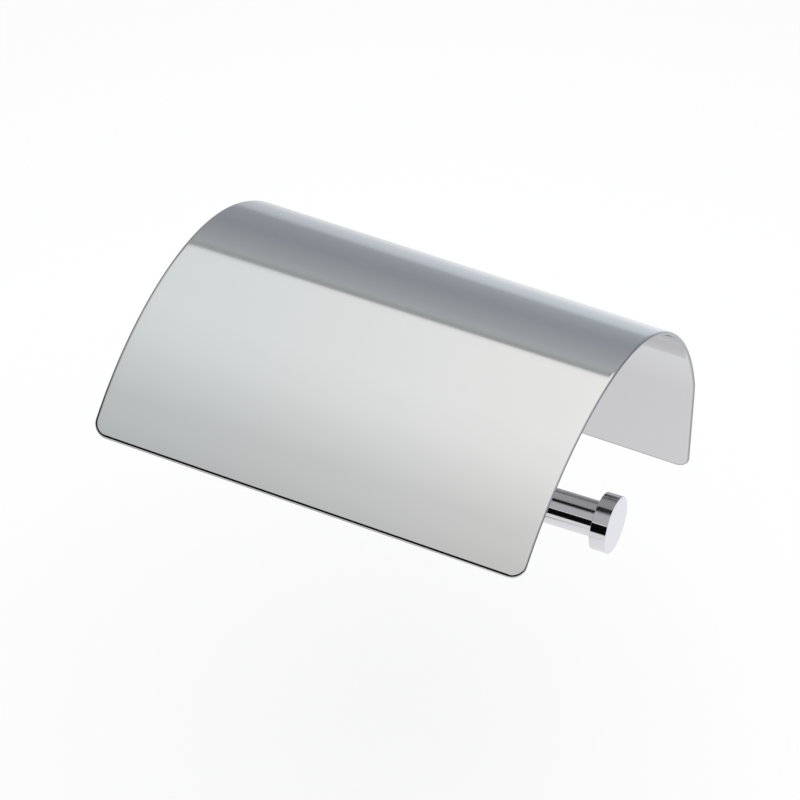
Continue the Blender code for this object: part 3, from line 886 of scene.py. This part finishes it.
class Sky:
    """The studio: a bright dome over a dim horizon, given by direction."""

    def __init__(self):
        world = bpy.data.worlds.new("studio")
        bpy.context.scene.world = world
        world.use_nodes = True
        self.tree = world.node_tree
        self.tree.nodes.clear()
        coordinates = self.tree.nodes.new("ShaderNodeTexCoord")
        split = self.tree.nodes.new("ShaderNodeSeparateXYZ")
        self.tree.links.new(coordinates.outputs["Generated"], split.inputs[0])
        self.x, self.y, self.z = split.outputs

    def ramp(self, value, stops):
        """Colours along value, which runs from -1 to 1."""
        shifted = self.ranged(value, -1.0, 1.0, "LINEAR")
        node = self.tree.nodes.new("ShaderNodeValToRGB")
        elements = node.color_ramp.elements
        while len(elements) < len(stops):
            elements.new(0.5)
        for element, (place, _) in zip(elements, stops):
            element.position = (place + 1) / 2
        for element, (_, colour) in zip(elements, stops):
            element.color = (*colour, 1.0) if isinstance(colour, tuple) else (colour,) * 3 + (1.0,)
        self.tree.links.new(shifted, node.inputs[0])
        return node.outputs["Color"]

    def leaning(self, lean, offset):
        """Height plus a lean towards +X and an offset."""
        node = self.tree.nodes.new("ShaderNodeMath")
        node.operation = "MULTIPLY_ADD"
        self.tree.links.new(self.x, node.inputs[0])
        node.inputs[1].default_value = lean
        shifted = self.tree.nodes.new("ShaderNodeMath")
        shifted.operation = "ADD"
        self.tree.links.new(self.z, shifted.inputs[0])
        shifted.inputs[1].default_value = offset
        self.tree.links.new(shifted.outputs[0], node.inputs[2])
        return node.outputs[0]

    def ranged(self, value, start, end, kind="SMOOTHSTEP"):
        """From 0 to 1 as value goes from start to end."""
        node = self.tree.nodes.new("ShaderNodeMapRange")
        node.interpolation_type = kind
        node.inputs["From Min"].default_value = start
        node.inputs["From Max"].default_value = end
        self.tree.links.new(value, node.inputs["Value"])
        return node.outputs["Result"]

    def mix(self, factor, first, second, blend="MIX"):
        """Two colours blended; each input is a value or a node's output."""
        node = self.tree.nodes.new("ShaderNodeMix")
        node.data_type = "RGBA"
        node.blend_type = blend
        for socket, value in ((0, factor), (6, first), (7, second)):
            if isinstance(value, (float, tuple)):
                node.inputs[socket].default_value = value
            else:
                self.tree.links.new(value, node.inputs[socket])
        return node.outputs[2]

    def output(self, seen, lit):
        """Camera rays see one plain colour; everything else is lit by the studio."""
        background = self.tree.nodes.new("ShaderNodeBackground")
        result = self.tree.nodes.new("ShaderNodeOutputWorld")
        path = self.tree.nodes.new("ShaderNodeLightPath")
        colour = self.mix(path.outputs["Is Camera Ray"], lit, seen)
        self.tree.links.new(colour, background.inputs["Color"])
        self.tree.links.new(background.outputs[0], result.inputs["Surface"])


def build_sky():
    sky = Sky()
    height = sky.leaning(SKY_LEAN, SKY_OFFSET)
    dome = sky.ramp(sky.y, DOME_ALONG_Y)
    dome = sky.mix(1.0, dome, sky.ramp(sky.x, DOME_ALONG_X), "MULTIPLY")
    back = sky.ramp(height, BACK_BY_HEIGHT)
    low_across = sky.ramp(sky.x, LOW_BACK_ALONG_X)
    high_across = sky.ramp(sky.x, HIGH_BACK_ALONG_X)
    across = sky.mix(sky.ranged(height, *LOW_TO_HIGH), low_across, high_across)
    back = sky.mix(1.0, back, across, "MULTIPLY")
    front = sky.ramp(sky.z, FRONT_BY_HEIGHT)
    band = sky.mix(sky.ranged(sky.y, *FRONT_TO_BACK), front, back)
    sky.output(SEEN_COLOUR, sky.mix(sky.ranged(height, *DOME_EDGE), band, dome))


def build_camera():
    data = bpy.data.cameras.new("camera")
    data.sensor_width = CAMERA_SENSOR
    data.lens = CAMERA_LENS
    data.clip_start = CAMERA_NEAR
    camera = bpy.data.objects.new("camera", data)
    bpy.context.scene.collection.objects.link(camera)
    back = Vector((
        sin(CAMERA_AZIMUTH) * cos(CAMERA_ELEVATION),
        -cos(CAMERA_AZIMUTH) * cos(CAMERA_ELEVATION),
        sin(CAMERA_ELEVATION),
    ))
    turn = (-back).to_track_quat("-Z", "Y").to_matrix().to_4x4()
    camera.matrix_world = at(*CAMERA_PLACE, turn @ Matrix.Rotation(CAMERA_ROLL, 4, "Z"))
    bpy.context.scene.camera = camera


def build_lamp():
    """A broad soft lamp overhead, which gives the floor its faint shadow."""
    data = bpy.data.lights.new("overhead", "AREA")
    data.shape = "DISK"
    data.size = LAMP_SIZE
    data.energy = LAMP_POWER
    lamp = bpy.data.objects.new("overhead", data)
    lamp.location = LAMP_PLACE
    lamp.rotation_euler = (-Vector(lamp.location)).to_track_quat("-Z", "Y").to_euler()
    lamp.visible_glossy = False
    lamp.visible_camera = False
    bpy.context.scene.collection.objects.link(lamp)


# ---------------------------------------------------------------- scene

def build_scene():
    sheet, bright, plated = satin_steel(), chrome(), plated_steel()
    plain, white = screw_steel(), nylon()
    build_cover(sheet)
    build_wall_plate(plated)
    build_post(bright)
    build_pin(bright)
    build_knob(bright)
    build_set_screw(plain)
    for side, x in POST_SCREW_X.items():
        build_post_screw(side, x, plain)
    for side, x in WALL_SCREW_AT.items():
        build_wall_screw(side, x, plain)
        build_washer(side, x, white)
    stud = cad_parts["knob_stud"]
    stud.data.materials.clear()
    stud.data.materials.append(plain)
    build_floor()
    build_reflector()
    build_sky()
    build_lamp()
    build_camera()
    bpy.context.scene.view_settings.view_transform = "Standard"


build_scene()
